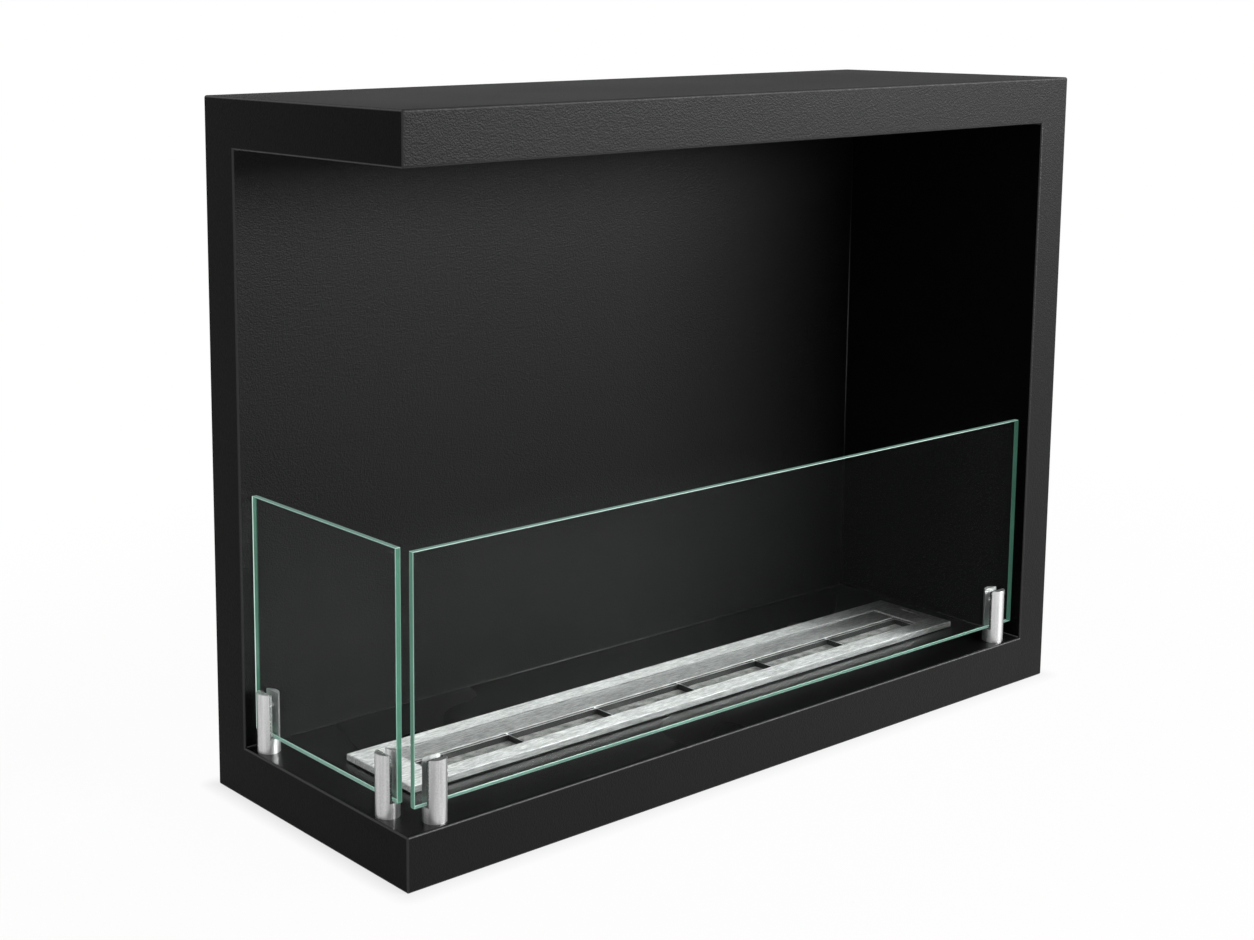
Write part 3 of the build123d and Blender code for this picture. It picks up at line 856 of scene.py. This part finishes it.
def make_screw():
    """A hexagon screw along Y: a head with an eased rim, and a shank with a blunt point."""
    head = [
        (SCREW_CORNER - SCREW_TAPER, SCREW_HEAD_HEIGHT),
        (SCREW_CORNER, SCREW_HEAD_HEIGHT - SCREW_TAPER),
        (SCREW_CORNER, 0.0),
    ]
    shank = [
        (SCREW_SHANK_RADIUS, 0.0),
        (SCREW_SHANK_RADIUS, -SCREW_SHANK * SCREW_POINT_START),
        (SCREW_SHANK_RADIUS * SCREW_POINT_WIDTH, -SCREW_SHANK),
    ]
    shape = bmesh.new()
    add_rod(shape, head, SCREW_HEAD_SIDES)
    add_rod(shape, shank, SCREW_SHANK_SIDES)
    bmesh.ops.recalc_face_normals(shape, faces=shape.faces)
    return new_object("screw", plain_mesh("screw", shape))


def make_cover_screws():
    """The screws of the rear cover, each turned as it happened to stop."""
    low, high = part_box("cover_screws")
    flat = SCREW_ACROSS_FLATS / 2
    step_x = (high.x - low.x - 2 * SCREW_CORNER) / (SCREW_COLUMNS - 1)
    step_z = (high.z - low.z - 2 * flat) / (SCREW_ROWS - 1)
    places = [
        (low.x + SCREW_CORNER + step_x * column, high.y - SCREW_HEAD_HEIGHT, low.z + flat + step_z * row)
        for column in range(SCREW_COLUMNS)
        for row in range(SCREW_ROWS)
    ]
    spots = bpy.data.meshes.new("screw_places")
    spots.from_pydata(places, [], [])
    screw = make_screw()
    tree = Growth("cover_screws")
    one_screw = tree.size("Screw", "NodeSocketObject", screw)
    info = tree.add("GeometryNodeObjectInfo", {"Object": one_screw})
    turn = tree.random_turn((0, 0, 0), (0, 2 * math.pi / SCREW_HEAD_SIDES, 0), SCREW_TURN_SEED)
    points = tree.add("GeometryNodeMeshToPoints", {"Mesh": tree.geometry})
    screws = tree.add(
        "GeometryNodeInstanceOnPoints",
        {"Points": points.outputs[0], "Instance": info.outputs["Geometry"], "Rotation": turn},
    )
    piece = tree.grow("hexagon_screws", spots, screws.outputs[0], zinc_screw)
    bpy.data.objects.remove(screw)
    seat(piece, "cover_screws", "case")


make_cover_screws()


# ---------------------------------------------------------------- floor, light and camera
def make_floor():
    """A wide pale floor that shows white, with the case's soft shadow and a painted contact shadow."""
    look = Wiring("pale_floor")
    matt = look.add("ShaderNodeBsdfDiffuse", {"Color": (*grey(FLOOR_SHADE), 1)}).outputs["BSDF"]
    white = look.add("ShaderNodeEmission", {"Color": (1, 1, 1, 1), "Strength": 1.0}).outputs["Emission"]
    size = look.vector("ABSOLUTE", look.place)
    past = look.vector("SUBTRACT", size, (cad_box[1].x, cad_box[1].y, 0))
    outside = look.vector("MAXIMUM", past, (0, 0, 0))
    away = look.add("ShaderNodeVectorMath", {0: outside}, operation="LENGTH").outputs["Value"]
    # painted shadow: close to the case less of the floor is white, so it darkens by place
    plain = look.sum(look.spread(away, **WHITE_BESIDE), look.spread(away, **WHITE_FAR_AWAY), 1.0)
    share = look.reckon("MULTIPLY", look.shown_white(), plain)
    mix = look.add("ShaderNodeMixShader", {0: share, 1: matt, 2: white})
    mesh = bpy.data.meshes.new("floor")
    corners = [(x * FLOOR_REACH, y * FLOOR_REACH, 0) for x, y in ((-1, -1), (1, -1), (1, 1), (-1, 1))]
    mesh.from_pydata(corners, [], [range(4)])
    mesh.materials.append(look.finish(mix.outputs["Shader"]))
    floor = new_object("floor", mesh)


def make_world():
    """White where it is seen, mirrored or looked at through glass, and softer as a source of light."""
    world = bpy.data.worlds.new("studio")
    bpy.context.scene.world = world
    world.use_nodes = True
    sky = Nodes(world.node_tree)
    soft = sky.add("ShaderNodeBackground", {"Strength": WORLD_STRENGTH}).outputs[0]
    white = sky.add("ShaderNodeBackground", {"Color": (1, 1, 1, 1)}).outputs[0]
    mix = sky.add("ShaderNodeMixShader", {0: sky.shown_white(), 1: soft, 2: white})
    sky.add("ShaderNodeOutputWorld", {"Surface": mix.outputs[0]})


def make_lamp(name, place, target, width, height, power):
    """A soft box that faces a target."""
    lamp = bpy.data.lights.new(name, "AREA")
    lamp.shape = "RECTANGLE"
    lamp.size = width
    lamp.size_y = height
    lamp.energy = power
    aim = (Vector(target) - Vector(place)).to_track_quat("-Z", "Y")
    new_object(name, lamp).matrix_world = Matrix.Translation(place) @ aim.to_matrix().to_4x4()


def make_camera():
    """The camera that took the photograph, whose frame was cropped off its lens centre."""
    data = bpy.data.cameras.new("camera")
    data.sensor_width = SENSOR_WIDTH
    data.lens = FOCAL_PIXELS * SENSOR_WIDTH / PHOTO_WIDTH
    data.shift_x = (PHOTO_WIDTH / 2 - LENS_CENTRE[0]) / PHOTO_WIDTH
    data.shift_y = (LENS_CENTRE[1] - PHOTO_HEIGHT / 2) / PHOTO_WIDTH
    level = math.cos(CAMERA_PITCH)
    forward = Vector((math.sin(CAMERA_YAW) * level, math.cos(CAMERA_YAW) * level, -math.sin(CAMERA_PITCH)))
    side = Vector((math.cos(CAMERA_YAW), -math.sin(CAMERA_YAW), 0))
    up = side.cross(forward)
    right = side * math.cos(CAMERA_ROLL) + up * math.sin(CAMERA_ROLL)
    above = up * math.cos(CAMERA_ROLL) - side * math.sin(CAMERA_ROLL)
    turn = Matrix((right, above, -forward)).transposed().to_4x4()
    camera = new_object("camera", data)
    camera.matrix_world = Matrix.Translation(CAMERA_PLACE) @ turn
    bpy.context.scene.camera = camera


make_floor()
make_world()
make_lamp("key", **KEY_LAMP)
make_lamp("fill", **FILL_LAMP)
make_camera()
bpy.context.scene.view_settings.view_transform = "Standard"
